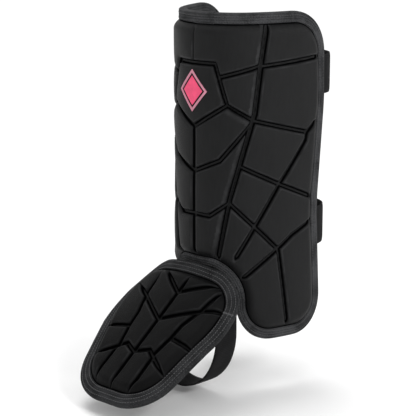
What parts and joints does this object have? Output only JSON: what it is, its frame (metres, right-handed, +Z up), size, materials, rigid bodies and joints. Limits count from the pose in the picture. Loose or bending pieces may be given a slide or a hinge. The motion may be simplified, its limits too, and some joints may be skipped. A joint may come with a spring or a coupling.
{
  "type": "batter's leg guard",
  "caption": "Moulded, grooved shin shell with taped edges, a hinged instep pad, an elastic strap under the foot, elastic calf straps and a plain diamond badge.",
  "frame": {"origin": "on the axis of the leg, level with the middle of the shin", "axes": "+Z up the leg, -Y towards the toes, +X across the leg"},
  "size_m": [0.144, 0.2746, 0.3589],
  "materials": {
    "moulded_fabric": "smooth stretch fabric over moulded foam, satin black",
    "edge_tape": "ribbed woven tape with two rows of stitching, charcoal",
    "lining": "knitted lining, black",
    "elastic": "woven elastic webbing, black",
    "badge": "flat heat-bonded film, bright pink",
    "badge_edge": "flat heat-bonded film, pale pink"
  },
  "bodies": {
    "root": {"shin_pad": "moulded_fabric", "shin_binding": "edge_tape", "shin_lining": "lining", "badge_core": "badge", "badge_border": "badge_edge", "instep_pad": "moulded_fabric", "instep_binding": "edge_tape", "hinge_web": "lining", "stirrup_strap": "elastic", "calf_strap_upper": "elastic", "calf_strap_lower": "elastic"}
  },
  "joints": []
}
